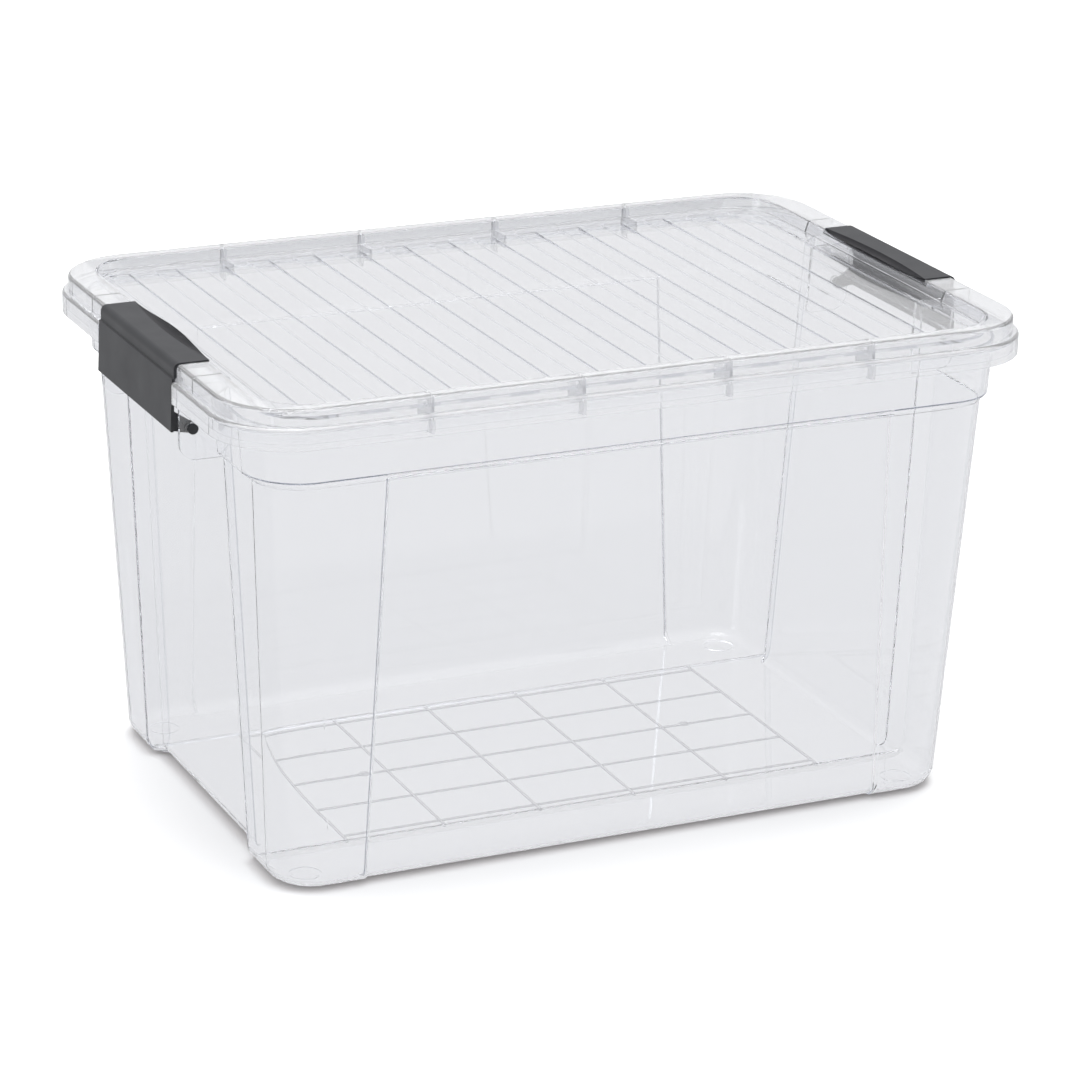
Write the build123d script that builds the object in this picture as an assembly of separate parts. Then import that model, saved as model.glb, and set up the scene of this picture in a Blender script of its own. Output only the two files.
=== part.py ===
from build123d import *
import os

# Clear stackable storage bin with a clip-on lid: tub, lid and two swing latches.
# Millimetres. X runs along the long side, Y along the short side and +Z is up.
# The origin is the centre of the base, on the surface that the bin stands on.

# ---- Tub: walls and floor --------------------------------------------------
WALL = 2.0  # wall and floor thickness of both clear mouldings
BASE_HALF_X = 255.5  # half length across the corner columns at the floor
BASE_HALF_Y = 169.7  # half width across the corner columns at the floor
SHOULDER_Z = 291.0  # height where the columns end and the shoulder starts
TOP_HALF_X = 269.9  # half length across the columns at the shoulder
TOP_HALF_Y = 182.4  # half width across the columns at the shoulder
COLUMN_RADIUS = 33.0  # vertical corner rounding of the tub
FLOOR_RADIUS = 13.0  # rounding between the columns and the base

# ---- Tub: recessed panels between the columns ------------------------------
LONG_PANEL_DEPTH = 2.5
LONG_PANEL_HALF_AT_BASE = 196.9
LONG_PANEL_HALF_AT_SHOULDER = 187.4
SHORT_PANEL_DEPTH = 9.0
SHORT_PANEL_HALF_AT_BASE = 103.3
SHORT_PANEL_HALF_AT_SHOULDER = 97.0
STRAP_RISE = 3.0  # how far the middle of the floor stands above the two ledges
STRAP_HALF_Y = 107.0
STRAP_RADIUS = 8.0  # rounding between the raised floor and the short panels
MITRE = 0.414  # tan(22.5 deg): sideways growth of a 45 degree step per unit of offset

# ---- Tub: floor ribs and marks ---------------------------------------------
GRID_COLUMNS = 5
GRID_ROWS = 4
GRID_PITCH_X = 73.4
GRID_PITCH_Y = 48.0
RIB_WIDTH = 1.6
RIB_HEIGHT = 1.0
FOOT_RING_X = 228.5
FOOT_RING_Y = 139.9
FOOT_RING_RADIUS = 11.5
FOOT_RING_WIDTH = 1.0
FOOT_RING_DEPTH = 0.5
GATE_MARK_X = 128.0
GATE_MARK_RADIUS = 4.0
GATE_MARK_HEIGHT = 0.4

# ---- Tub: shoulder, band and flange ----------------------------------------
BAND_Z = 296.0  # height where the shoulder has reached the wider band
BAND_HALF_X = 276.0
BAND_HALF_Y = 186.6
BAND_RADIUS = 40.0
FLANGE_Z = 333.8  # underside of the flange
BAND_TOP_HALF_X = 278.6
BAND_TOP_HALF_Y = 188.6
BAND_TOP_RADIUS = 42.0
FLANGE_THICKNESS = 2.0
FLANGE_HALF_X = 294.0
FLANGE_HALF_Y = 197.2
FLANGE_RADIUS = 52.6
FLANGE_ROUNDING = 1.0
LIP_DEPTH = 8.4
LIP_THICKNESS = 1.8
GUSSET_X = (-162.0, -54.0, 54.0, 162.0)
GUSSET_THICKNESS = 2.0
GUSSET_BOTTOM_Z = 323.2
GUSSET_SLOPE = 1.2  # how much higher a gusset's lower edge is at the lip than at the wall

# ---- Lid -------------------------------------------------------------------
LID_TOP_Z = 350.3
LID_GAP = 0.3  # clear height between the lid's step and the flange it rests on
SKIRT_BOTTOM_Z = 323.6
SKIRT_HALF_X = 297.4
SKIRT_HALF_Y = 200.0
SKIRT_RADIUS = 56.0
SKIRT_WALL = 1.9
STEP_Z = 338.6  # top of the wider, lower part of the skirt
STEP_ROUNDING = 2.2
RIM_HALF_X = 293.0
RIM_HALF_Y = 196.4
RIM_RADIUS = 52.4
RIM_ROUNDING = 2.5
PANEL_Z = 342.0  # top of the sunk panel
PANEL_HALF_X = 267.6
PANEL_HALF_Y = 185.0
PANEL_RADIUS = 36.0
RIM_INNER_HALF_X = 270.6
RIM_INNER_HALF_Y = 186.2
RIM_INNER_RADIUS = 38.0
PANEL_ROUNDING = 1.2
GROOVE_COUNT = 15
GROOVE_PITCH = 35.5
GROOVE_WIDTH = 15.0
GROOVE_LENGTH = 343.0
GROOVE_DEPTH = 1.2
LID_GATE_RADIUS = 5.5
LID_GATE_DEPTH = 0.4
LOCATOR_THICKNESS = 2.0
LOCATOR_INNER_Y = 171.0
LOCATOR_BOTTOM_Z = 331.0
LOCATOR_PLAY = 0.9  # side play of a locating rib inside the tub's mouth
END_RIB_Y = 101.0

# ---- Latches ---------------------------------------------------------------
LATCH_HALF_LENGTH = 73.8
LATCH_SIDE_GAP = 0.8  # gap between a latch's ends and the pocket in the lid
LATCH_UPPER_X = 295.6  # outer face above the crease
LATCH_CREASE_X = 296.8  # outer face just below the crease
LATCH_CREASE_Z = 341.0
LATCH_BOTTOM_X = 298.2
LATCH_BOTTOM_Z = 303.8
LATCH_TOP_Z = 351.2
LATCH_TIP_X = 270.5  # hook's inner edge at its two ends
LATCH_TIP_BOW = 4.2  # how much further in the inner edge reaches at the middle
LATCH_WALL = 2.2
LATCH_HOOK_WALL = 2.4
LATCH_TOP_ROUNDING = 4.6
LATCH_INNER_ROUNDING = 1.2
LATCH_EDGE_ROUNDING = 0.9
SCOOP_BOW = 5.0  # how far the scoop's outer border bows outwards at the middle
SCOOP_DEPTH = 1.3
POCKET_FLOOR_Z = 347.8
WEB_THICKNESS = 2.4
WEB_TOP_Z = 319.0
PIVOT_X = 284.6
PIVOT_Z = 306.6
PIN_RADIUS = 3.7
PIN_TIP_Y = 80.6
PIN_CLEARANCE = 0.05
WEB_END_RADIUS = 4.2  # rounding of the web around the pin
EAR_INNER_Y = 76.0
EAR_THICKNESS = 3.0
EAR_OUTER_X = 293.6
EAR_BOTTOM_Z = 284.4
EAR_RADIUS = 12.0

FAR = 40.0  # overshoot of the cutting tools past the walls they cut
NEAR = 0.5  # how close to a place an edge's centre must lie to be picked there


def blend(start, end, z, top_z):
    """Value at height z of a size that runs straight from start at the floor to end at top_z."""
    return start + (end - start) * z / top_z


def column_half_x(z):
    return blend(BASE_HALF_X, TOP_HALF_X, z, SHOULDER_Z)


def column_half_y(z):
    return blend(BASE_HALF_Y, TOP_HALF_Y, z, SHOULDER_Z)


def rounded(half_x, half_y, radius, z):
    """A rounded rectangle, centred on the Z axis, at height z."""
    return Pos(0, 0, z) * RectangleRounded(2 * half_x, 2 * half_y, radius)


def slab(half_x, half_y, radius, z_low, z_high):
    """A straight-sided rounded block between two heights."""
    return extrude(rounded(half_x, half_y, radius, z_low), z_high - z_low)


def centred_box(x_range, y_range, z_range):
    """A plain box from three (low, high) pairs."""
    size = [high - low for low, high in (x_range, y_range, z_range)]
    centre = [(high + low) / 2 for low, high in (x_range, y_range, z_range)]
    return Pos(*centre) * Box(*size)


# ---- Tub -------------------------------------------------------------------
def tub_skin(inset, top_z, set_back=0.0):
    """The tub without its panels, drawn in by inset, and its long sides by set_back as well."""
    side = inset + set_back
    shoulder_lift = inset * MITRE
    low = rounded(
        column_half_x(inset) - inset, column_half_y(inset) - side, COLUMN_RADIUS - inset, inset
    )
    shoulder = rounded(
        TOP_HALF_X - inset, TOP_HALF_Y - side, COLUMN_RADIUS - inset, SHOULDER_Z + shoulder_lift
    )
    band = rounded(
        BAND_HALF_X - inset, BAND_HALF_Y - side, BAND_RADIUS - inset, BAND_Z + shoulder_lift
    )
    top = rounded(
        BAND_TOP_HALF_X - inset, BAND_TOP_HALF_Y - side, BAND_TOP_RADIUS - inset, top_z
    )
    columns = loft([low, shoulder], ruled=True)
    columns = fillet(columns.edges().group_by(Axis.Z)[0], FLOOR_RADIUS - inset)
    return columns + loft([shoulder, band], ruled=True) + loft([band, top], ruled=True)


def panel_tool(depth, half_at_base, half_at_shoulder, wall_half, top_z, grow, reach=0.0):
    """The space in front of a recessed panel on the +Y side, with 45 degree side walls.

    A reach carries the space on behind the panel's face, straight back.
    """
    sections = []
    corner = grow * (1 - MITRE) if reach else 0.0
    for z in (-FAR, top_z):
        face_y = wall_half(z) - depth - grow
        far_y = wall_half(z) + FAR
        face_half = blend(half_at_base, half_at_shoulder, z, SHOULDER_Z) - depth + grow * MITRE
        far_half = face_half + far_y - face_y
        side = [(face_half + corner, face_y + corner), (far_half, far_y)]
        if reach:
            side.insert(0, (face_half + corner, face_y - reach))
        other_side = [(-x, y) for x, y in reversed(side)]
        sections.append(Pos(0, 0, z) * Polygon(*side, *other_side, align=None))
    return loft(sections, ruled=True)


def strap_tool(grow):
    """The space below the raised middle of the floor, joined to the two short panels."""
    top_z = STRAP_RISE + grow
    top_half = STRAP_HALF_Y - STRAP_RISE + grow * MITRE
    low_half = top_half + top_z + FAR
    outline = [(-low_half, -FAR), (low_half, -FAR), (top_half, top_z), (-top_half, top_z)]
    under = extrude(Plane.YZ * Polygon(*outline, align=None), BASE_HALF_X + FAR, both=True)
    short = panel_tool(
        SHORT_PANEL_DEPTH,
        SHORT_PANEL_HALF_AT_BASE,
        SHORT_PANEL_HALF_AT_SHOULDER,
        column_half_x,
        FLANGE_Z + 2 * grow,
        grow,
    )
    tool = under + Rot(0, 0, 90) * short + Rot(0, 0, -90) * short
    corner_x = column_half_x(top_z) - SHORT_PANEL_DEPTH - grow
    corners = [
        edge
        for edge in tool.edges()
        if abs(abs(edge.center().X) - corner_x) < NEAR and abs(edge.center().Z - top_z) < NEAR
    ]
    return fillet(corners, STRAP_RADIUS - grow)


def long_tools(grow):
    """What both long panels take from a skin: they follow a copy of it that is set back."""
    tool = panel_tool(
        LONG_PANEL_DEPTH,
        LONG_PANEL_HALF_AT_BASE,
        LONG_PANEL_HALF_AT_SHOULDER,
        column_half_y,
        SHOULDER_Z + grow,
        grow,
        reach=FAR,
    )
    return tool + Rot(0, 0, 180) * tool - tub_skin(grow, FLANGE_Z, LONG_PANEL_DEPTH)


def flange():
    """The outward flange, its hanging lip and the mouth's edge."""
    top_z = FLANGE_Z + FLANGE_THICKNESS
    plate = slab(FLANGE_HALF_X, FLANGE_HALF_Y, FLANGE_RADIUS, top_z - LIP_DEPTH, top_z)
    plate = fillet(plate.edges().group_by(Axis.Z)[-1], FLANGE_ROUNDING)
    under = slab(
        FLANGE_HALF_X - LIP_THICKNESS,
        FLANGE_HALF_Y - LIP_THICKNESS,
        FLANGE_RADIUS - LIP_THICKNESS,
        top_z - LIP_DEPTH,
        FLANGE_Z,
    )
    return plate - under


def gusset(x):
    """One gusset under the +Y flange, from the band out to the lip."""
    lip_y = FLANGE_HALF_Y - LIP_THICKNESS / 2
    wall_y = BAND_TOP_HALF_Y - WALL / 2
    outline = [
        (wall_y, GUSSET_BOTTOM_Z),
        (lip_y, GUSSET_BOTTOM_Z + GUSSET_SLOPE),
        (lip_y, FLANGE_Z + FLANGE_THICKNESS / 2),
        (wall_y, FLANGE_Z + FLANGE_THICKNESS / 2),
    ]
    plate = extrude(Plane.YZ * Polygon(*outline, align=None), GUSSET_THICKNESS / 2, both=True)
    return Pos(x, 0, 0) * plate


def ear_pair():
    """The two pivot ears at the +X end, from the short panel out to the lip."""
    panel_x = column_half_x(EAR_BOTTOM_Z) - SHORT_PANEL_DEPTH - WALL / 2
    outline = Plane.XZ * Polygon(
        (panel_x, EAR_BOTTOM_Z),
        (EAR_OUTER_X, EAR_BOTTOM_Z),
        (EAR_OUTER_X, FLANGE_Z + FLANGE_THICKNESS / 2),
        (panel_x, FLANGE_Z + FLANGE_THICKNESS / 2),
        align=None,
    )
    plate = extrude(outline, -EAR_THICKNESS)
    corner = plate.edges().filter_by(Axis.Y).sort_by(Axis.X)[-2:].sort_by(Axis.Z)[0]
    plate = fillet(corner, EAR_RADIUS)
    hole = Pos(PIVOT_X, EAR_THICKNESS / 2, PIVOT_Z) * Rot(90, 0, 0) * Cylinder(
        PIN_RADIUS + PIN_CLEARANCE, 2 * EAR_THICKNESS
    )
    ear = Pos(0, EAR_INNER_Y, 0) * (plate - hole)
    return ear + mirror(ear, Plane.XZ)


def floor_grid():
    """Thin ribs under the raised floor: one line on each edge of a 5 by 4 grid of cells."""
    rib_z = (STRAP_RISE - RIB_HEIGHT, STRAP_RISE + WALL / 2)
    half_x = GRID_COLUMNS * GRID_PITCH_X / 2
    half_y = GRID_ROWS * GRID_PITCH_Y / 2
    strap_half = STRAP_HALF_Y - STRAP_RISE
    ribs = []
    for row in range(GRID_ROWS + 1):
        y = row * GRID_PITCH_Y - half_y
        ribs.append(centred_box((-half_x, half_x), (y - RIB_WIDTH / 2, y + RIB_WIDTH / 2), rib_z))
    for column in range(GRID_COLUMNS + 1):
        x = column * GRID_PITCH_X - half_x
        span = (-strap_half, strap_half)
        ribs.append(centred_box((x - RIB_WIDTH / 2, x + RIB_WIDTH / 2), span, rib_z))
    return ribs


def gate_marks():
    """Two small round moulding marks under the raised floor."""
    height = GATE_MARK_HEIGHT + WALL / 2
    centre_z = STRAP_RISE - GATE_MARK_HEIGHT + height / 2
    mark = Cylinder(GATE_MARK_RADIUS, height)
    return [Pos(x, 0, centre_z) * mark for x in (-GATE_MARK_X, GATE_MARK_X)]


def foot_rings():
    """Shallow ring grooves in the underside of the ledges, one near each corner."""
    tube = Cylinder(FOOT_RING_RADIUS, 2 * FOOT_RING_DEPTH)
    tube -= Cylinder(FOOT_RING_RADIUS - FOOT_RING_WIDTH, 2 * FOOT_RING_DEPTH)
    return [
        Pos(x, y, 0) * tube
        for x in (-FOOT_RING_X, FOOT_RING_X)
        for y in (-FOOT_RING_Y, FOOT_RING_Y)
    ]


def make_box_body():
    mouth_z = FLANGE_Z + FLANGE_THICKNESS
    inside = tub_skin(WALL, mouth_z + WALL) - strap_tool(WALL) - long_tools(WALL)
    body = tub_skin(0, FLANGE_Z) - strap_tool(0) - long_tools(0)
    ears = ear_pair()
    body += [flange(), ears, mirror(ears, Plane.YZ)]
    for x in GUSSET_X:
        body += [gusset(x), mirror(gusset(x), Plane.XZ)]
    body += floor_grid()
    body += gate_marks()
    body -= inside
    for ring in foot_rings():
        body -= ring
    return body


# ---- Lid -------------------------------------------------------------------
def lid_shell():
    """The lid's outside: a wide lower skirt and a narrower raised rim, with rounded edges."""
    skirt = slab(SKIRT_HALF_X, SKIRT_HALF_Y, SKIRT_RADIUS, SKIRT_BOTTOM_Z, STEP_Z)
    skirt = fillet(skirt.edges().group_by(Axis.Z)[-1], STEP_ROUNDING)
    rim = slab(RIM_HALF_X, RIM_HALF_Y, RIM_RADIUS, SKIRT_BOTTOM_Z, LID_TOP_Z)
    rim = fillet(rim.edges().group_by(Axis.Z)[-1], RIM_ROUNDING)
    return skirt + rim


def stacking_recess():
    """The space above the sunk panel, which takes the base of a second bin."""
    floor = rounded(PANEL_HALF_X, PANEL_HALF_Y, PANEL_RADIUS, PANEL_Z)
    mouth = rounded(RIM_INNER_HALF_X, RIM_INNER_HALF_Y, RIM_INNER_RADIUS, LID_TOP_Z)
    space = loft([floor, mouth], ruled=True)
    space = fillet(space.edges().group_by(Axis.Z)[0], PANEL_ROUNDING)
    return space + slab(
        RIM_INNER_HALF_X, RIM_INNER_HALF_Y, RIM_INNER_RADIUS, LID_TOP_Z, LID_TOP_Z + WALL
    )


def lid_underside():
    """The hollow under the lid: the skirt's inside, the space below the panel and the rim's channel."""
    rest_z = FLANGE_Z + FLANGE_THICKNESS + LID_GAP
    skirt_space = slab(
        SKIRT_HALF_X - SKIRT_WALL,
        SKIRT_HALF_Y - SKIRT_WALL,
        SKIRT_RADIUS - SKIRT_WALL,
        SKIRT_BOTTOM_Z - WALL,
        rest_z,
    )
    rim_space = slab(
        RIM_HALF_X - WALL, RIM_HALF_Y - WALL, RIM_RADIUS - WALL, rest_z - WALL, LID_TOP_Z - WALL
    )
    low = rounded(PANEL_HALF_X + WALL, PANEL_HALF_Y + WALL, PANEL_RADIUS + WALL, PANEL_Z - WALL)
    top = rounded(
        RIM_INNER_HALF_X + WALL, RIM_INNER_HALF_Y + WALL, RIM_INNER_RADIUS + WALL, LID_TOP_Z
    )
    return skirt_space + (rim_space - loft([low, top], ruled=True))


def groove_strips(widen, z_low, z_high):
    """One strip per groove across the panel, widened on every side."""
    half_width = GROOVE_WIDTH / 2 + widen
    half_length = GROOVE_LENGTH / 2 + widen
    first = -(GROOVE_COUNT - 1) * GROOVE_PITCH / 2
    strips = []
    for index in range(GROOVE_COUNT):
        x = first + index * GROOVE_PITCH
        x_range = (x - half_width, x + half_width)
        strips.append(centred_box(x_range, (-half_length, half_length), (z_low, z_high)))
    return strips


def latch_pocket():
    """The cut that lets the +X latch's top plate and panel lie flush with the lid."""
    half_length = LATCH_HALF_LENGTH + LATCH_SIDE_GAP
    y_range = (-half_length, half_length)
    outside_x = SKIRT_HALF_X + WALL
    above = centred_box((PANEL_HALF_X, outside_x), y_range, (POCKET_FLOOR_Z, LID_TOP_Z + WALL))
    beside = centred_box((RIM_HALF_X, outside_x), y_range, (SKIRT_BOTTOM_Z - WALL, LID_TOP_Z))
    return above + beside


def pocket_floor():
    """The plate under the +X latch's hook and the two walls that close the pocket's ends."""
    half_length = LATCH_HALF_LENGTH + LATCH_SIDE_GAP
    inner_x = PANEL_HALF_X + WALL
    floor_range = (POCKET_FLOOR_Z - WALL, POCKET_FLOOR_Z)
    plate = centred_box((inner_x, RIM_HALF_X), (-half_length, half_length), floor_range)
    walls = []
    for side in (-1, 1):
        near = side * half_length
        far = side * (half_length + WALL)
        wall = centred_box(
            (inner_x, RIM_HALF_X - RIM_ROUNDING),
            (min(near, far), max(near, far)),
            (POCKET_FLOOR_Z - WALL, LID_TOP_Z - RIM_ROUNDING / 2),
        )
        walls.append(wall)
    return [plate] + walls


def locating_rib(x):
    """A rib across the +Y rim: it stiffens the hollow rim and centres the lid in the tub's mouth."""
    rest_z = FLANGE_Z + FLANGE_THICKNESS + LID_GAP
    mouth_y = BAND_TOP_HALF_Y - WALL - LOCATOR_PLAY
    rim_y = RIM_HALF_Y - WALL / 2
    outline = [
        (LOCATOR_INNER_Y, PANEL_Z - WALL / 2),
        (LOCATOR_INNER_Y, LOCATOR_BOTTOM_Z),
        (mouth_y, LOCATOR_BOTTOM_Z),
        (mouth_y, rest_z),
        (rim_y, rest_z),
        (rim_y, LID_TOP_Z - WALL / 2),
        (RIM_INNER_HALF_Y + WALL / 2, LID_TOP_Z - WALL / 2),
        (PANEL_HALF_Y + WALL / 2, PANEL_Z - WALL / 2),
    ]
    plate = extrude(Plane.YZ * Polygon(*outline, align=None), LOCATOR_THICKNESS / 2, both=True)
    return Pos(x, 0, 0) * plate


def end_rib(y):
    """A rib across the hollow rim at the +X end, beside the latch pocket."""
    rest_z = FLANGE_Z + FLANGE_THICKNESS + LID_GAP
    rim_x = RIM_HALF_X - WALL / 2
    outline = [
        (PANEL_HALF_X + WALL / 2, PANEL_Z - WALL / 2),
        (PANEL_HALF_X + WALL, rest_z),
        (rim_x, rest_z),
        (rim_x, LID_TOP_Z - WALL / 2),
        (RIM_INNER_HALF_X + WALL / 2, LID_TOP_Z - WALL / 2),
    ]
    plate = extrude(Plane.XZ * Polygon(*outline, align=None), LOCATOR_THICKNESS / 2, both=True)
    return Pos(0, y, 0) * plate


def make_lid():
    lid = lid_shell() - stacking_recess() - lid_underside()
    lid += groove_strips(WALL / 2, PANEL_Z - WALL - GROOVE_DEPTH, PANEL_Z - WALL / 2)
    lid -= groove_strips(0, PANEL_Z - GROOVE_DEPTH, PANEL_Z + WALL)
    lid -= Pos(0, 0, PANEL_Z) * Cylinder(LID_GATE_RADIUS, 2 * LID_GATE_DEPTH)
    for x in GUSSET_X:
        lid += [locating_rib(x), mirror(locating_rib(x), Plane.XZ)]
    for plane in (None, Plane.YZ):
        cut = latch_pocket()
        added = pocket_floor() + [end_rib(END_RIB_Y), end_rib(-END_RIB_Y)]
        if plane is not None:
            cut = mirror(cut, plane)
            added = [mirror(piece, plane) for piece in added]
        lid -= cut
        lid += added
    return lid


# ---- Latches ---------------------------------------------------------------
def latch_section():
    """The latch's cross-section in XZ at the +X end, from the hook's tip to the bottom edge."""
    tip_x = LATCH_TIP_X - LATCH_TIP_BOW
    step = LATCH_CREASE_X - LATCH_UPPER_X
    outer = [
        (tip_x, LATCH_TOP_Z),
        (LATCH_UPPER_X, LATCH_TOP_Z),
        (LATCH_UPPER_X, LATCH_CREASE_Z),
        (LATCH_CREASE_X, LATCH_CREASE_Z - step / 2),
        (LATCH_BOTTOM_X, LATCH_BOTTOM_Z),
    ]
    inner = [
        (LATCH_BOTTOM_X - LATCH_WALL, LATCH_BOTTOM_Z),
        (LATCH_CREASE_X - LATCH_WALL, LATCH_CREASE_Z - step / 2),
        (LATCH_UPPER_X - LATCH_WALL, LATCH_CREASE_Z),
        (LATCH_UPPER_X - LATCH_WALL, LATCH_TOP_Z - LATCH_HOOK_WALL),
        (tip_x, LATCH_TOP_Z - LATCH_HOOK_WALL),
    ]
    section = Polygon(*outer, *inner, align=None)
    roundings = [
        (outer[1], LATCH_TOP_ROUNDING),
        (outer[4], LATCH_EDGE_ROUNDING),
        (inner[3], LATCH_INNER_ROUNDING),
    ]
    for (x, z), radius in roundings:
        corner = section.vertices().sort_by_distance((x, z))[0]
        section = fillet(corner, radius)
    return section


def arc_radius(bow):
    """Radius of a curve that bows out by the given amount over the latch's length."""
    return (LATCH_HALF_LENGTH**2 + bow**2) / (2 * bow)


def tip_cylinder():
    """A wide upright cylinder: the hook's inner edge follows its side."""
    radius = arc_radius(LATCH_TIP_BOW)
    return Pos(LATCH_TIP_X - LATCH_TIP_BOW + radius, 0, LATCH_CREASE_Z) * Cylinder(
        radius, 4 * FAR
    )


def scoop_ring():
    """A wide flat ring whose underside hollows the top plate along the hook's inner edge."""
    half_width = (LATCH_TIP_BOW + SCOOP_BOW) / 2
    tube_radius = (half_width**2 + SCOOP_DEPTH**2) / (2 * SCOOP_DEPTH)
    border_radius = arc_radius(SCOOP_BOW)
    centre_x = LATCH_TIP_X + SCOOP_BOW - border_radius
    centre_z = LATCH_TOP_Z + tube_radius - SCOOP_DEPTH
    return Pos(centre_x, 0, centre_z) * Torus(border_radius - half_width, tube_radius)


def end_web():
    """The outline in XZ of a latch's end web, from the panel in to the pin."""
    panel_x = LATCH_BOTTOM_X - LATCH_WALL / 2
    bottom_z = LATCH_BOTTOM_Z + LATCH_EDGE_ROUNDING
    web = Polygon(
        (panel_x, bottom_z),
        (panel_x, WEB_TOP_Z),
        (PIVOT_X, PIVOT_Z + WEB_END_RADIUS),
        (PIVOT_X, PIVOT_Z - WEB_END_RADIUS),
        align=None,
    )
    return web + Pos(PIVOT_X, PIVOT_Z) * Circle(WEB_END_RADIUS)


def make_latch():
    """The latch at the +X end, closed, with its end webs and stub pins."""
    latch = extrude(Plane.XZ * latch_section(), LATCH_HALF_LENGTH, both=True)
    latch = latch & tip_cylinder()
    latch -= scoop_ring()
    pin_length = PIN_TIP_Y - LATCH_HALF_LENGTH + WEB_THICKNESS
    for side in (-1, 1):
        web_y = side * (LATCH_HALF_LENGTH - WEB_THICKNESS / 2)
        pin_y = side * (PIN_TIP_Y - pin_length / 2)
        latch += Pos(0, web_y, 0) * extrude(Plane.XZ * end_web(), WEB_THICKNESS / 2, both=True)
        latch += Pos(PIVOT_X, pin_y, PIVOT_Z) * Rot(90, 0, 0) * Cylinder(PIN_RADIUS, pin_length)
    return latch


latch_right = make_latch()
parts = {
    "box_body": make_box_body(),
    "lid": make_lid(),
    "latch_left": Rot(0, 0, 180) * latch_right,
    "latch_right": latch_right,
}

os.makedirs("parts", exist_ok=True)
for name, part in parts.items():
    part.label = name
    export_step(part, f"parts/{name}.step")
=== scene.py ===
import math

import bpy
from mathutils import Matrix, Vector

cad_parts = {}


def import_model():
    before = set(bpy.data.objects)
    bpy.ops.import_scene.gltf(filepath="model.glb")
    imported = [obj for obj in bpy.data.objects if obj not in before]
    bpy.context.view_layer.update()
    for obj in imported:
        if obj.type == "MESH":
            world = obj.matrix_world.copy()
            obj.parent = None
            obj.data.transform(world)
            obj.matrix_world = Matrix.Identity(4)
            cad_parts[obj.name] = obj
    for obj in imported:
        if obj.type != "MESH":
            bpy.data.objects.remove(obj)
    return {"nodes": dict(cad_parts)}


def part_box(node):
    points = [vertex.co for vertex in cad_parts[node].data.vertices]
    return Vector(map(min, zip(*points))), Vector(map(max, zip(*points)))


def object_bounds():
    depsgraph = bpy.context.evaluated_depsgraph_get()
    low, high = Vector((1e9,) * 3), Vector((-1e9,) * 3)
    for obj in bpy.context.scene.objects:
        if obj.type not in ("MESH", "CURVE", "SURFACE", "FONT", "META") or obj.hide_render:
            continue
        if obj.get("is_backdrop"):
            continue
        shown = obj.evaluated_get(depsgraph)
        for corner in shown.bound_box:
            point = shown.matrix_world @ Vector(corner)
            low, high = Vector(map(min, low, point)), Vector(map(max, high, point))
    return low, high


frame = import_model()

# ---- Camera: where it stands, seen from the middle of the bin --------------
CAMERA_AZIMUTH = math.radians(-23.88)  # turned from the long side towards the -X end
CAMERA_ELEVATION = math.radians(19.48)
CAMERA_ROLL = math.radians(0.81)
CAMERA_DISTANCE = 2.9006
CAMERA_AIM = Vector((-0.0482, 0.0201, -0.0043))  # aim point, from the middle of the CAD box
CAMERA_REACH = 100.0  # metres that the camera sees
SENSOR_WIDTH = 36.0
FOCAL_LENGTH = 135.18
SHIFT_X = 0.0764
SHIFT_Y = -0.0080

# ---- Floor and light -------------------------------------------------------
FLOOR_SIZE = 30.0
FLOOR_GAP = 0.0002  # keeps the floor off the bin's base
FLOOR_COLOUR = (0.80, 0.80, 0.80, 1.0)
FLOOR_IN_FRONT = (1.05, 1.05, 1.06, 1.0)  # the glow in front of the bin
FRONT_EDGE = (-0.200, -0.172)  # where, along Y, the glow in front gives way to the one behind
FLOOR_THROUGH_PLASTIC = (0.795, 0.80, 0.82, 1.0)  # the glow under and behind the bin
BACKDROP_LIGHT = (0.76, 0.76, 0.77, 1.0)  # low light from behind the bin
ROOM_LIGHT = (0.60, 0.61, 0.63, 1.0)  # low light from the viewer's side
CEILING_LIGHT = (1.3, 1.3, 1.3, 1.0)
BACKDROP_TURN = (-0.5, 0.6)  # Y of a direction, from the room's light to the backdrop's
CEILING_TURN = (0.45, 0.95)  # Z of a direction, from the low light to the ceiling's
SOFTBOX_STRENGTH = 3.5
SOFTBOXES = (  # direction of the middle of each lamp, and its half size, on a unit sphere
    ((0.0, 0.15, 1.0), (0.30, 0.22, 0.20)),
    ((-0.95, -0.10, 0.30), (0.20, 0.12, 0.28)),
    ((0.95, -0.25, 0.30), (0.20, 0.12, 0.28)),
)
SOFTBOX_FADE = 0.8  # where a lamp starts to fade, as a share of its half size
KEY_STRENGTH = 2.3
KEY_SPREAD = 40.0
KEY_TILT = (-9.0, 12.0)  # leans the light towards the viewer's left

# ---- Clear plastic ---------------------------------------------------------
PLASTIC_IOR = 1.49
CLEAR_COLOUR = (0.985, 0.987, 0.992, 1.0)
RAISED_FLOOR_HALF = 0.103  # half width of the part of the floor that has ribs
GRID_HEIGHT = (0.0015, 0.0029)  # of the ribs under the raised floor
LEDGE_STEP = (0.1035, 0.1085)  # where the floor steps down to the ledges, either side of the middle
LEDGE_STEP_HEIGHT = 0.0055
WALL_RIBS = (0.054, 0.162)  # ribs across the long rims, either side of the middle
WALL_RIB_HALF = 0.0013
TUB_RIB_ZONE = (0.1870, 0.1956)  # how far out, and how high, the tub's rim ribs show
TUB_RIB_HEIGHT = (0.3228, 0.3340)
LID_RIB_ZONE = (0.1705, 0.1950)
LID_RIB_HEIGHT = (0.3305, 0.3480)
RIB_FROST = 0.25
LID_PANEL_HALF = (0.2700, 0.1860)  # outside this the lid is rim and skirt, which look milky
RIM_FROST = 0.12
RIB_PAINTED_SHADE = (0.82, 0.83, 0.85, 1.0)  # painted shade on the moulded ribs: a grey tint that makes them read darker
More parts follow.
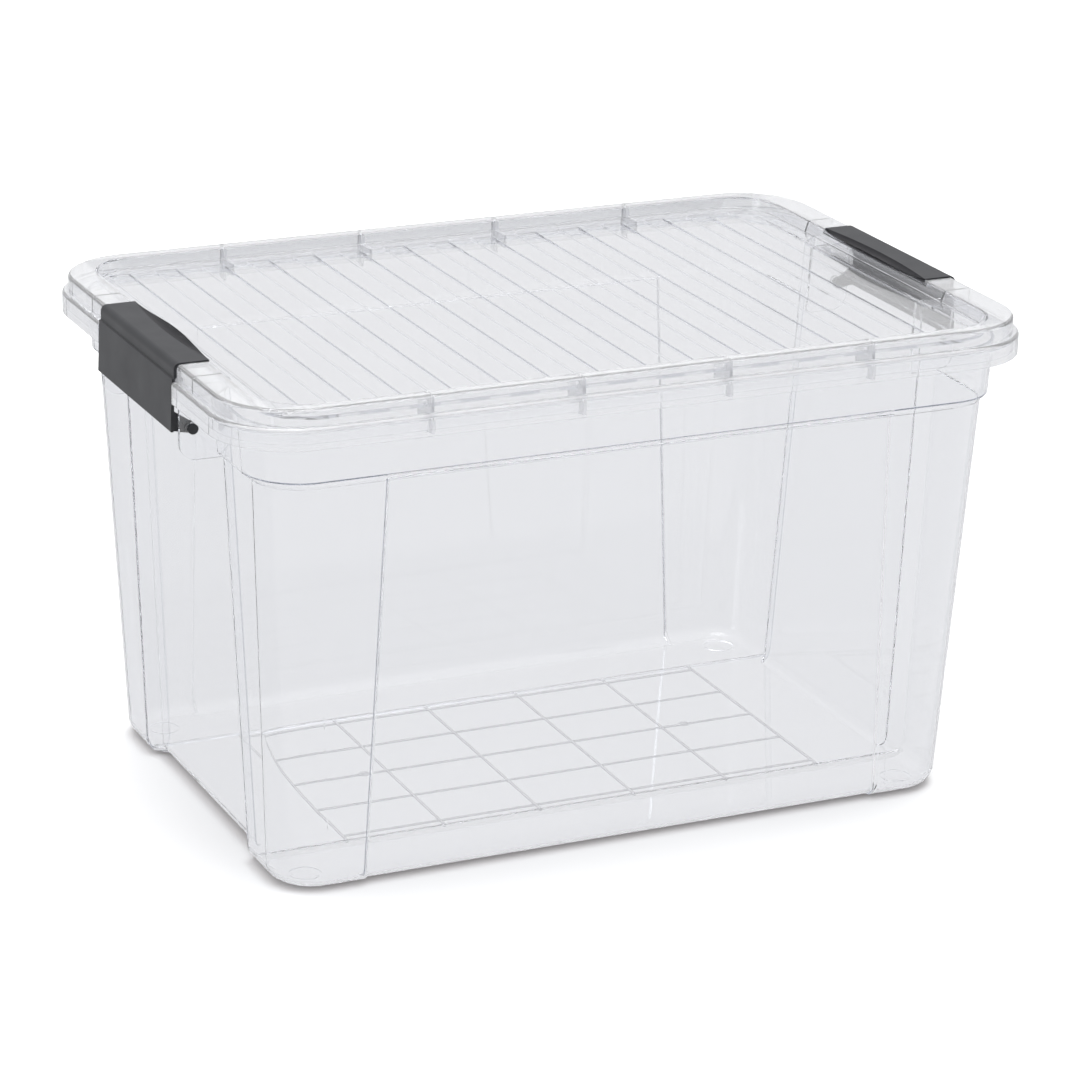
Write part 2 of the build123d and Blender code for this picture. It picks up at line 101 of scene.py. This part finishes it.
SHADOW_COLOUR = (0.975, 0.976, 0.98, 1.0)
FOOT_SHADOW_COLOUR = (0.60, 0.58, 0.58, 1.0)  # near the base, which bends the light away
FOOT_SHADOW_HEIGHT = 0.012
HAZE = 0.03
HAZE_SPREAD = 0.4  # how far the haze varies, as a share of it
WAVE_SCALE = 14.0
WAVE_STRENGTH = 0.03
WAVE_HEIGHT = 0.0004
POLISH_SCALE = 90.0
POLISH_ROUGHNESS = (0.0, 0.02)
TINT_COLOUR = (0.30, 0.36, 0.50, 1.0)
TINT_DENSITY = 6.0
MOST_BOUNCES = 32
DIFFUSE_BOUNCES = 6
DEEPEST_BOUNCE = 9.0  # past this many bounces light leaves the plastic straight on

# ---- Latch plastic ---------------------------------------------------------
LATCH_COLOUR = (0.016, 0.017, 0.020, 1.0)
# painted shade: the scoop is painted darker than the rest of the latch, standing in for the shade in
# the hollow
SCOOP_PAINTED_SHADE = (0.010, 0.010, 0.012, 1.0)
SCOOP_EDGE = 0.0092  # widest part of the scoop, from the hook's inner edge
SCOOP_BOW = 0.0050  # how far its outer border curves in towards the bin at its two ends
SCOOP_DEPTH = 0.0014  # just more than its depth, so that all of it gets the painted shade
LATCH_HALF_LENGTH = 0.0738
LATCH_SHINE = 0.42
SCOOP_SHINE = 0.1
LATCH_ROUGHNESS = (0.36, 0.50)
LATCH_WEAR_SCALE = 40.0
GRAIN_SCALE = 1800.0
GRAIN_STRENGTH = 0.25
GRAIN_HEIGHT = 0.0001


def camera():
    """A camera at the viewing angle, aimed near the middle of the bin."""
    low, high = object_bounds()
    middle = (Vector(low) + Vector(high)) / 2
    back = Vector(
        (
            math.sin(CAMERA_AZIMUTH) * math.cos(CAMERA_ELEVATION),
            -math.cos(CAMERA_AZIMUTH) * math.cos(CAMERA_ELEVATION),
            math.sin(CAMERA_ELEVATION),
        )
    )
    right = Vector((math.cos(CAMERA_AZIMUTH), math.sin(CAMERA_AZIMUTH), 0.0))
    up = back.cross(right)
    turn = Matrix.Rotation(CAMERA_ROLL, 3, back)
    axes = Matrix((turn @ right, turn @ up, back)).transposed()
    data = bpy.data.cameras.new("camera")
    data.sensor_width = SENSOR_WIDTH
    data.lens = FOCAL_LENGTH
    data.shift_x = SHIFT_X
    data.shift_y = SHIFT_Y
    data.clip_end = CAMERA_REACH
    seen = bpy.data.objects.new("camera", data)
    place = middle + CAMERA_AIM + back * CAMERA_DISTANCE
    seen.matrix_world = Matrix.Translation(place) @ axes.to_4x4()
    bpy.context.scene.collection.objects.link(seen)
    bpy.context.scene.camera = seen


# ---- Node helpers ----------------------------------------------------------
def node(tree, kind, **values):
    """A shader node with its settings and sockets filled in; a socket's name uses _ for a space."""
    made = tree.nodes.new(kind)
    for name, value in values.items():
        socket = name.replace("_", " ")
        if hasattr(made, name):
            setattr(made, name, value)
        elif isinstance(value, bpy.types.NodeSocket):
            tree.links.new(value, made.inputs[socket])
        else:
            made.inputs[socket].default_value = value
    return made


def math_node(tree, operation, first, second):
    made = tree.nodes.new("ShaderNodeMath")
    made.operation = operation
    for socket, value in zip(made.inputs, (first, second)):
        if isinstance(value, bpy.types.NodeSocket):
            tree.links.new(value, socket)
        else:
            socket.default_value = value
    return made.outputs[0]


def between(tree, value, low, high):
    """1 where the value lies between two limits, 0 elsewhere."""
    above = math_node(tree, "GREATER_THAN", value, low)
    below = math_node(tree, "LESS_THAN", value, high)
    return math_node(tree, "MULTIPLY", above, below)


def spread(tree, value, low, high):
    """A 0 to 1 value stretched to run from low to high."""
    made = node(tree, "ShaderNodeMapRange", To_Min=low, To_Max=high, Value=value)
    return made.outputs[0]


def ramp(tree, value, start, end):
    """0 where the value is at start, 1 where it is at end and a straight run between them."""
    made = node(tree, "ShaderNodeMapRange", From_Min=start, From_Max=end, Value=value)
    return made.outputs[0]


def noise(tree, where, scale):
    made = node(tree, "ShaderNodeTexNoise", Vector=where, Scale=scale)
    return made.outputs["Fac"]


def mix_shader(tree, factor, first, second):
    made = tree.nodes.new("ShaderNodeMixShader")
    tree.links.new(factor, made.inputs[0])
    tree.links.new(first, made.inputs[1])
    tree.links.new(second, made.inputs[2])
    return made.outputs[0]


def mix_colour(tree, factor, first, second):
    made = node(tree, "ShaderNodeMix", data_type="RGBA")
    tree.links.new(factor, made.inputs[0])
    for socket, value in zip((made.inputs[6], made.inputs[7]), (first, second)):
        if isinstance(value, bpy.types.NodeSocket):
            tree.links.new(value, socket)
        else:
            socket.default_value = value
    return made.outputs[2]


def material(name):
    made = bpy.data.materials.new(name)
    made.use_nodes = True
    made.node_tree.nodes.clear()
    return made


# ---- Room ------------------------------------------------------------------
def floor():
    """A plain pale floor. The camera sees it lit; reflected and refracted rays find a plain glow."""
    half = FLOOR_SIZE / 2
    square = [(-half, -half, 0), (half, -half, 0), (half, half, 0), (-half, half, 0)]
    mesh = bpy.data.meshes.new("floor")
    mesh.from_pydata(square, [], [(0, 1, 2, 3)])
    plane = bpy.data.objects.new("floor", mesh)
    plane.location.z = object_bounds()[0][2] - FLOOR_GAP
    bpy.context.scene.collection.objects.link(plane)
    paint = material("floor")
    tree = paint.node_tree
    lit = node(tree, "ShaderNodeBsdfDiffuse", Color=FLOOR_COLOUR)
    place = node(tree, "ShaderNodeTexCoord").outputs["Object"]
    along = node(tree, "ShaderNodeSeparateXYZ", Vector=place).outputs["Y"]
    behind = ramp(tree, along, *FRONT_EDGE)
    colour = mix_colour(tree, behind, FLOOR_IN_FRONT, FLOOR_THROUGH_PLASTIC)
    glow = node(tree, "ShaderNodeEmission", Color=colour)
    seen = node(tree, "ShaderNodeLightPath").outputs["Is Camera Ray"]
    surface = mix_shader(tree, seen, glow.outputs[0], lit.outputs[0])
    node(tree, "ShaderNodeOutputMaterial", Surface=surface)
    mesh.materials.append(paint)
    plane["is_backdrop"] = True


def key_light():
    """A very wide soft lamp overhead, which shows in no reflection."""
    data = bpy.data.lights.new("key", "SUN")
    data.energy = KEY_STRENGTH
    data.angle = math.radians(KEY_SPREAD)
    lamp = bpy.data.objects.new("key", data)
    lamp.rotation_euler.x = math.radians(KEY_TILT[0])
    lamp.rotation_euler.y = math.radians(KEY_TILT[1])
    lamp.visible_glossy = False
    lamp.visible_transmission = False
    bpy.context.scene.collection.objects.link(lamp)


def softbox(tree, where, centre, half_size):
    """1 in the directions where a rectangular lamp stands, fading to 0 at its edges."""
    offset = node(tree, "ShaderNodeVectorMath", operation="SUBTRACT")
    tree.links.new(where, offset.inputs[0])
    offset.inputs[1].default_value = centre
    scaled = node(tree, "ShaderNodeVectorMath", operation="DIVIDE")
    tree.links.new(offset.outputs[0], scaled.inputs[0])
    scaled.inputs[1].default_value = half_size
    size = node(tree, "ShaderNodeVectorMath", operation="ABSOLUTE")
    tree.links.new(scaled.outputs[0], size.inputs[0])
    parts = node(tree, "ShaderNodeSeparateXYZ", Vector=size.outputs[0])
    widest = math_node(tree, "MAXIMUM", parts.outputs["X"], parts.outputs["Y"])
    widest = math_node(tree, "MAXIMUM", widest, parts.outputs["Z"])
    return ramp(tree, widest, 1.0, SOFTBOX_FADE)


def world():
    """White behind the bin and overhead, dimmer on the viewer's side, with three softboxes."""
    sky = bpy.data.worlds.new("studio")
    sky.use_nodes = True
    tree = sky.node_tree
    tree.nodes.clear()
    where = node(tree, "ShaderNodeTexCoord").outputs["Generated"]
    split = node(tree, "ShaderNodeSeparateXYZ", Vector=where)
    behind = ramp(tree, split.outputs["Y"], *BACKDROP_TURN)
    low = mix_colour(tree, behind, ROOM_LIGHT, BACKDROP_LIGHT)
    height = ramp(tree, split.outputs["Z"], *CEILING_TURN)
    light = mix_colour(tree, height, low, CEILING_LIGHT)
    lamps = 0.0
    for centre, half_size in SOFTBOXES:
        lamps = math_node(tree, "MAXIMUM", softbox(tree, where, centre, half_size), lamps)
    strength = spread(tree, lamps, 1.0, SOFTBOX_STRENGTH)
    glow = node(tree, "ShaderNodeBackground", Color=light, Strength=strength)
    node(tree, "ShaderNodeOutputWorld", Surface=glow.outputs[0])
    bpy.context.scene.world = sky


# ---- Materials -------------------------------------------------------------
def half_space(tree, place):
    """How far across and along from the middle a place is, and how high above the bin's base."""
    split = node(tree, "ShaderNodeSeparateXYZ", Vector=place)
    across = math_node(tree, "ABSOLUTE", split.outputs["X"], 0.0)
    along = math_node(tree, "ABSOLUTE", split.outputs["Y"], 0.0)
    height = math_node(tree, "SUBTRACT", split.outputs["Z"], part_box("box_body")[0].z)
    return across, along, height


def all_of(tree, *masks):
    product = masks[0]
    for mask in masks[1:]:
        product = math_node(tree, "MULTIPLY", product, mask)
    return product


def any_of(tree, *masks):
    most = masks[0]
    for mask in masks[1:]:
        most = math_node(tree, "MAXIMUM", most, mask)
    return most


def rim_ribs(tree, place, zone, heights):
    """1 on the ribs across the long rims."""
    across, along, height = half_space(tree, place)
    first, second = (
        between(tree, across, x - WALL_RIB_HALF, x + WALL_RIB_HALF) for x in WALL_RIBS
    )
    return all_of(
        tree,
        any_of(tree, first, second),
        between(tree, along, *zone),
        between(tree, height, *heights),
    )


def tub_ribs(tree, place):
    """1 on the tub's moulded ribs: the floor grid and the ribs under the rim."""
    along, height = half_space(tree, place)[1:]
    grid = all_of(
        tree,
        between(tree, height, *GRID_HEIGHT),
        math_node(tree, "LESS_THAN", along, RAISED_FLOOR_HALF),
    )
    return any_of(tree, grid, rim_ribs(tree, place, TUB_RIB_ZONE, TUB_RIB_HEIGHT))


def lid_ribs(tree, place):
    return rim_ribs(tree, place, LID_RIB_ZONE, LID_RIB_HEIGHT)


def tub_milk(tree, place):
    """1 on the low step beside the ledges."""
    along, height = half_space(tree, place)[1:]
    return all_of(
        tree,
        between(tree, along, *LEDGE_STEP),
        math_node(tree, "LESS_THAN", height, LEDGE_STEP_HEIGHT),
    )


def lid_milk(tree, place):
    """1 on the lid's rim and skirt."""
    across, along = half_space(tree, place)[:2]
    ends = math_node(tree, "GREATER_THAN", across, LID_PANEL_HALF[0])
    sides = math_node(tree, "GREATER_THAN", along, LID_PANEL_HALF[1])
    return any_of(tree, ends, sides)


def foot_mask(tree, place):
    """1 on the lowest part of the tub, 0 above it."""
    height = half_space(tree, place)[2]
    return math_node(tree, "LESS_THAN", height, FOOT_SHADOW_HEIGHT)


def clear_plastic(name, ribs, milk):
    """Slightly hazy clear plastic with a faintly wavy moulded surface, frosted where masks say, and
    with painted shade greying the ribs.
    """
    paint = material(name)
    tree = paint.node_tree
    place = node(tree, "ShaderNodeTexCoord").outputs["Object"]
    polish = noise(tree, place, POLISH_SCALE)
    waves = noise(tree, place, WAVE_SCALE)
    rib_mask = ribs(tree, place)
    # painted shade: the ribs are tinted grey so that they read darker
    colour = mix_colour(tree, rib_mask, CLEAR_COLOUR, RIB_PAINTED_SHADE)
    haziest = 1 - HAZE * (1 + HAZE_SPREAD)
    clearest = 1 - HAZE * (1 - HAZE_SPREAD)
    clearness = spread(tree, waves, haziest, clearest)
    rib_frost = math_node(tree, "MULTIPLY", rib_mask, RIB_FROST)
    rim_frost = math_node(tree, "MULTIPLY", milk(tree, place), RIM_FROST)
    clearness = math_node(tree, "SUBTRACT", clearness, any_of(tree, rib_frost, rim_frost))
    bump = node(
        tree, "ShaderNodeBump", Strength=WAVE_STRENGTH, Distance=WAVE_HEIGHT, Height=waves
    )
    glass = node(
        tree,
        "ShaderNodeBsdfPrincipled",
        IOR=PLASTIC_IOR,
        Base_Color=colour,
        Roughness=spread(tree, polish, *POLISH_ROUGHNESS),
        Transmission_Weight=clearness,
        Normal=bump.outputs[0],
    )
    shade = mix_colour(tree, foot_mask(tree, place), SHADOW_COLOUR, FOOT_SHADOW_COLOUR)
    open_air = node(tree, "ShaderNodeBsdfTransparent", Color=shade)
    way_out = node(tree, "ShaderNodeBsdfTransparent", Color=CLEAR_COLOUR)
    path = node(tree, "ShaderNodeLightPath")
    deep = math_node(tree, "GREATER_THAN", path.outputs["Ray Depth"], DEEPEST_BOUNCE)
    lit = mix_shader(tree, path.outputs["Is Shadow Ray"], glass.outputs[0], open_air.outputs[0])
    surface = mix_shader(tree, deep, lit, way_out.outputs[0])
    inside = node(tree, "ShaderNodeVolumeAbsorption", Color=TINT_COLOUR, Density=TINT_DENSITY)
    node(tree, "ShaderNodeOutputMaterial", Surface=surface, Volume=inside.outputs[0])
    return paint


def scoop_shade_mask(tree, place):
    """1 in the lens-shaped scoop along the hook's inner edge of either latch, where painted shade
    goes.
    """
    across, along, height = half_space(tree, place)
    low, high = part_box("latch_right")
    part = math_node(tree, "DIVIDE", along, LATCH_HALF_LENGTH)
    drop = math_node(tree, "MULTIPLY", math_node(tree, "MULTIPLY", part, part), SCOOP_BOW)
    border = math_node(tree, "SUBTRACT", low.x + SCOOP_EDGE, drop)
    return all_of(
        tree,
        math_node(tree, "LESS_THAN", across, border),
        math_node(tree, "GREATER_THAN", height, high.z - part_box("box_body")[0].z - SCOOP_DEPTH),
    )


def latch_plastic():
    """Dark moulded plastic with a fine grain; the scoop is painted darker, as painted shade of the
    hollow, and is less shiny.
    """
    paint = material("latch_plastic")
    tree = paint.node_tree
    place = node(tree, "ShaderNodeTexCoord").outputs["Object"]
    grain = noise(tree, place, GRAIN_SCALE)
    wear = noise(tree, place, LATCH_WEAR_SCALE)
    bump = node(
        tree, "ShaderNodeBump", Strength=GRAIN_STRENGTH, Distance=GRAIN_HEIGHT, Height=grain
    )
    # the scoop gets painted shade: a darker colour, and less shine that darkens it further
    scoop = scoop_shade_mask(tree, place)
    shader = node(
        tree,
        "ShaderNodeBsdfPrincipled",
        Base_Color=mix_colour(tree, scoop, LATCH_COLOUR, SCOOP_PAINTED_SHADE),
        Specular_IOR_Level=spread(tree, scoop, LATCH_SHINE, SCOOP_SHINE),
        Roughness=spread(tree, wear, *LATCH_ROUGHNESS),
        Normal=bump.outputs[0],
    )
    node(tree, "ShaderNodeOutputMaterial", Surface=shader.outputs[0])
    return paint


def dress(name, paint):
    mesh = frame["nodes"][name].data
    mesh.materials.clear()
    mesh.materials.append(paint)


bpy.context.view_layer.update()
camera()
floor()
world()
key_light()
dress("box_body", clear_plastic("tub_plastic", tub_ribs, tub_milk))
dress("lid", clear_plastic("lid_plastic", lid_ribs, lid_milk))
dark = latch_plastic()
dress("latch_left", dark)
dress("latch_right", dark)

scene = bpy.context.scene
scene.view_settings.view_transform = "Standard"
scene.cycles.max_bounces = MOST_BOUNCES
scene.cycles.transmission_bounces = MOST_BOUNCES
scene.cycles.glossy_bounces = MOST_BOUNCES
scene.cycles.diffuse_bounces = DIFFUSE_BOUNCES
scene.cycles.transparent_max_bounces = MOST_BOUNCES
scene.cycles.caustics_refractive = False
scene.cycles.caustics_reflective = False
